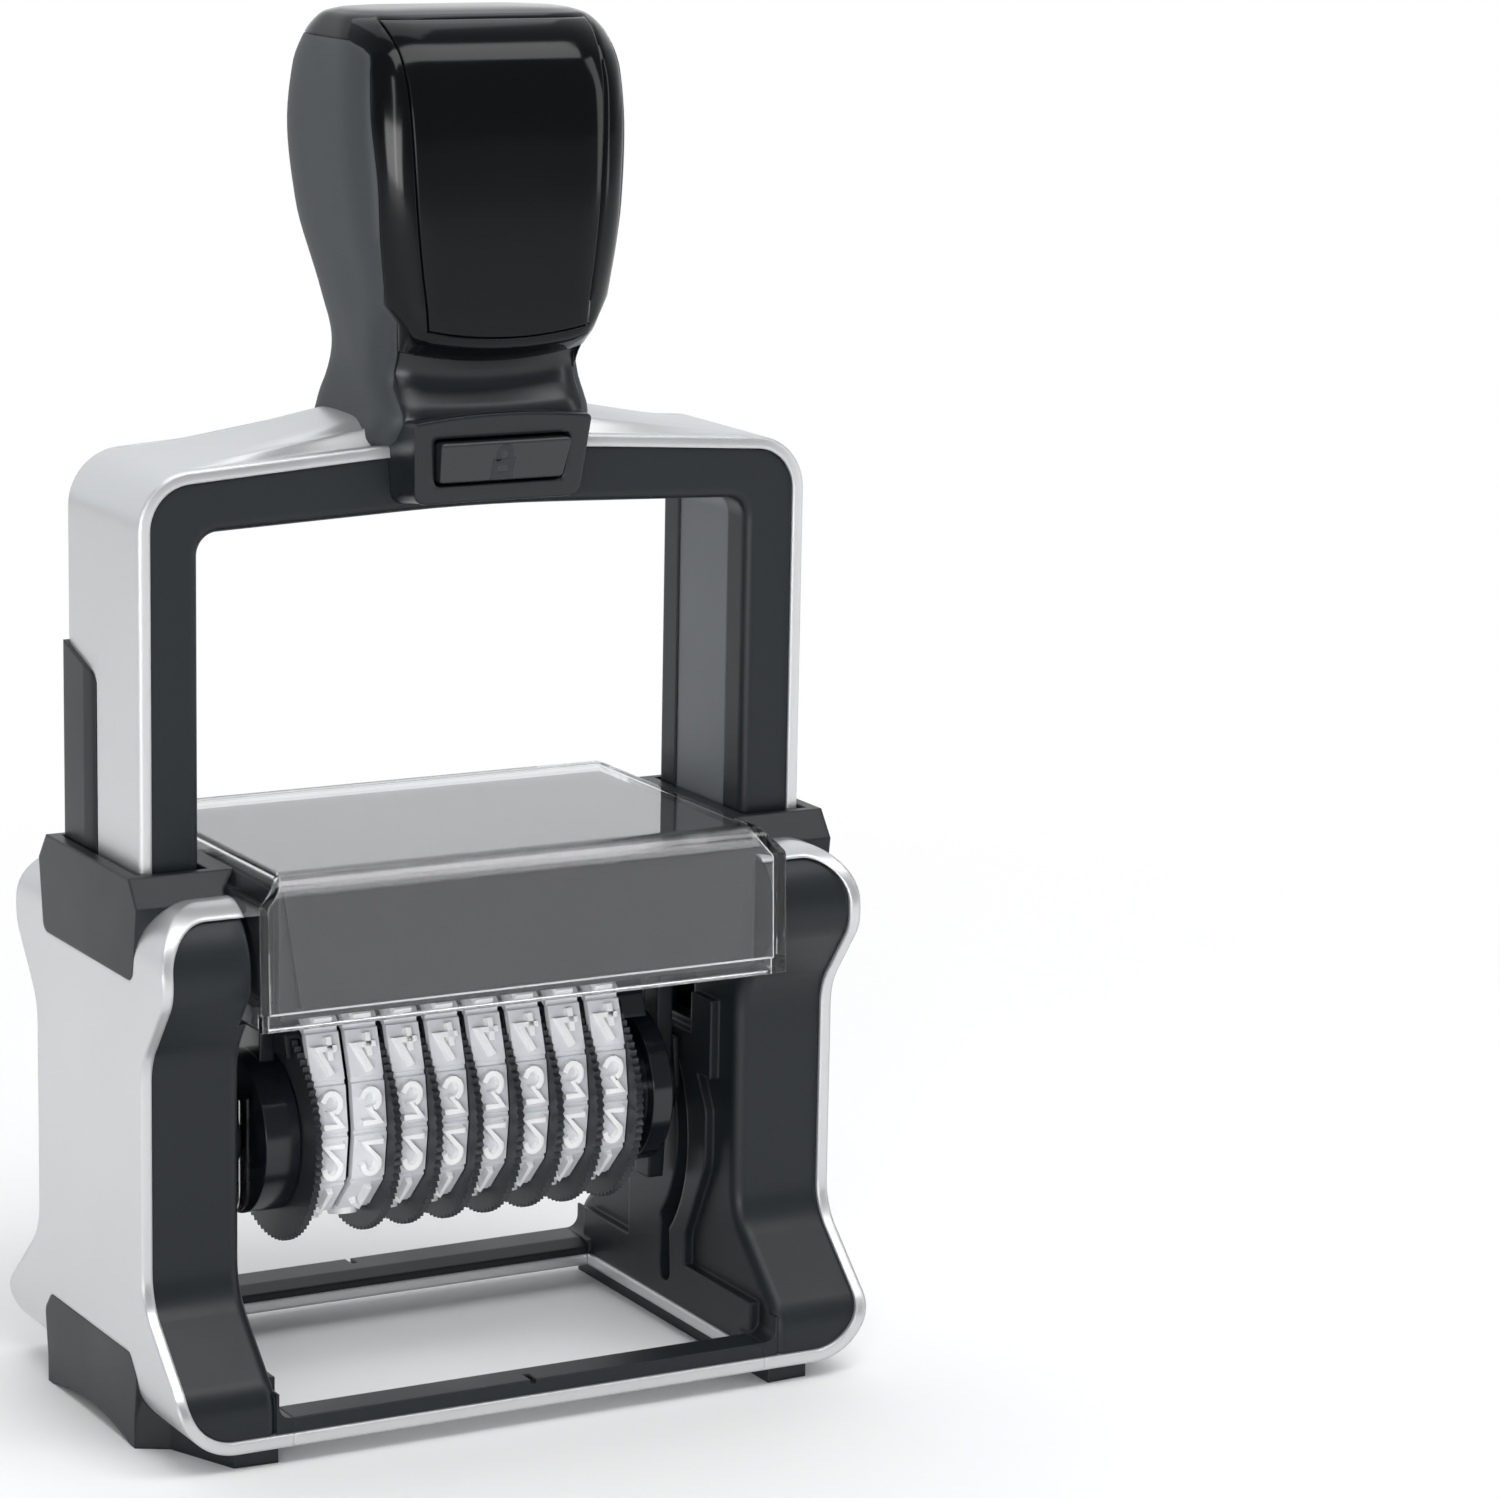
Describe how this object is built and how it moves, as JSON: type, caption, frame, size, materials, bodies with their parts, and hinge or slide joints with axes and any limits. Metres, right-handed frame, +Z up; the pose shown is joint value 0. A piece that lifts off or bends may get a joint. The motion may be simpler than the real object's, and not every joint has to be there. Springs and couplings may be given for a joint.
{
  "type": "numbering stamp",
  "caption": "Self-inking numbering stamp with a silver and black waisted body, arched press frame, upright handle and turnable rubber number bands.",
  "frame": {"origin": "on the floor under the middle of the machine", "axes": "+Z up towards the handle, +X to the right, the index card side faces -Y"},
  "size_m": [0.088, 0.052, 0.16],
  "materials": {
    "silver_plastic": "satin silver finish on moulded plastic",
    "black_plastic": "satin black moulded plastic",
    "grip": "soft dark grey grip surface",
    "gloss_black": "polished black plastic",
    "clear_plastic": "clear plastic, faint mould lines",
    "card": "printed card, plain dark grey",
    "ink_felt": "ink-soaked pad",
    "band_rubber": "off-white moulded rubber with raised plain digits",
    "wheel_plastic": "dark grey fine-toothed plastic",
    "steel": "bright steel wire, pins and screws"
  },
  "bodies": {
    "body": {"side_cover_left": "silver_plastic", "side_cover_right": "silver_plastic", "side_frame_left": "black_plastic", "side_frame_right": "black_plastic", "base_rail_front": "black_plastic", "base_rail_back": "black_plastic", "base_trim_front": "silver_plastic", "base_trim_back": "silver_plastic", "foot_pad_left": "black_plastic", "foot_pad_right": "black_plastic", "frame_screws": "steel", "collar_left": "black_plastic", "collar_right": "black_plastic", "pad_housing": "black_plastic", "index_card": "card", "clear_cover": "clear_plastic", "return_spring_left": "steel", "return_spring_right": "steel"},
    "ink_drawer": {"ink_cartridge": "black_plastic", "ink_pad": "ink_felt"},
    "bridge": {"bridge_shell": "silver_plastic", "bridge_frame_front": "black_plastic", "bridge_frame_back": "black_plastic", "bridge_core": "black_plastic", "leg_trim_left": "black_plastic", "leg_trim_right": "black_plastic", "arm_left": "black_plastic", "arm_right": "black_plastic", "handle_grip": "grip", "handle_cap": "gloss_black", "badge_plate": "gloss_black", "button_housing": "black_plastic", "handle_screws": "steel"},
    "latch": {"lock_button": "black_plastic"},
    "stamp_unit": {"carrier_left": "gloss_black", "carrier_right": "gloss_black", "print_bar": "black_plastic", "wheel_shaft": "steel", "flip_crank_left": "black_plastic", "flip_crank_right": "black_plastic", "retaining_clips": "steel", "band_1": "band_rubber", "band_2": "band_rubber", "band_3": "band_rubber", "band_4": "band_rubber", "band_5": "band_rubber", "band_6": "band_rubber", "band_7": "band_rubber", "band_8": "band_rubber"},
    "setting_wheel_1": {"wheel_1": "wheel_plastic"},
    "setting_wheel_2": {"wheel_2": "wheel_plastic"},
    "setting_wheel_3": {"wheel_3": "wheel_plastic"},
    "setting_wheel_4": {"wheel_4": "wheel_plastic"},
    "setting_wheel_5": {"wheel_5": "wheel_plastic"},
    "setting_wheel_6": {"wheel_6": "wheel_plastic"},
    "setting_wheel_7": {"wheel_7": "wheel_plastic"},
    "setting_wheel_8": {"wheel_8": "wheel_plastic"}
  },
  "joints": [
    {"name": "bridge_slide", "type": "slide", "parent": "body", "child": "bridge", "axis": [0, 0, -1], "range_m": [0, 0.014], "stiffness_N_per_m": 600, "springref_m": -0.03, "deforming": ["return_spring_left", "return_spring_right"]},
    {"name": "unit_flip", "type": "hinge", "parent": "bridge", "child": "stamp_unit", "pos_m": [0, 0, 0.0315], "axis": [1, 0, 0], "range_deg": [0, 180]},
    {"name": "latch_press", "type": "slide", "parent": "bridge", "child": "latch", "axis": [0, 1, 0], "range_m": [0, 0.0022], "stiffness_N_per_m": 800, "springref_m": -0.002},
    {"name": "ink_drawer_slide", "type": "slide", "parent": "body", "child": "ink_drawer", "axis": [0, 1, 0], "range_m": [0, 0.04]},
    {"name": "wheel_1_turn", "type": "hinge", "parent": "stamp_unit", "child": "setting_wheel_1", "pos_m": [-0.02125, 0, 0.0315], "axis": [1, 0, 0], "continuous": true},
    {"name": "wheel_2_turn", "type": "hinge", "parent": "stamp_unit", "child": "setting_wheel_2", "pos_m": [-0.01128, 0, 0.0315], "axis": [1, 0, 0], "continuous": true},
    {"name": "wheel_3_turn", "type": "hinge", "parent": "stamp_unit", "child": "setting_wheel_3", "pos_m": [-0.00608, 0, 0.0315], "axis": [1, 0, 0], "continuous": true},
    {"name": "wheel_4_turn", "type": "hinge", "parent": "stamp_unit", "child": "setting_wheel_4", "pos_m": [-0.00088, 0, 0.0315], "axis": [1, 0, 0], "continuous": true},
    {"name": "wheel_5_turn", "type": "hinge", "parent": "stamp_unit", "child": "setting_wheel_5", "pos_m": [0.00432, 0, 0.0315], "axis": [1, 0, 0], "continuous": true},
    {"name": "wheel_6_turn", "type": "hinge", "parent": "stamp_unit", "child": "setting_wheel_6", "pos_m": [0.00952, 0, 0.0315], "axis": [1, 0, 0], "continuous": true},
    {"name": "wheel_7_turn", "type": "hinge", "parent": "stamp_unit", "child": "setting_wheel_7", "pos_m": [0.01472, 0, 0.0315], "axis": [1, 0, 0], "continuous": true},
    {"name": "wheel_8_turn", "type": "hinge", "parent": "stamp_unit", "child": "setting_wheel_8", "pos_m": [0.01992, 0, 0.0315], "axis": [1, 0, 0], "continuous": true}
  ],
  "couplings": [
    {"joint": "unit_flip", "follows": "bridge_slide", "rad_per_m": 224.4}
  ]
}
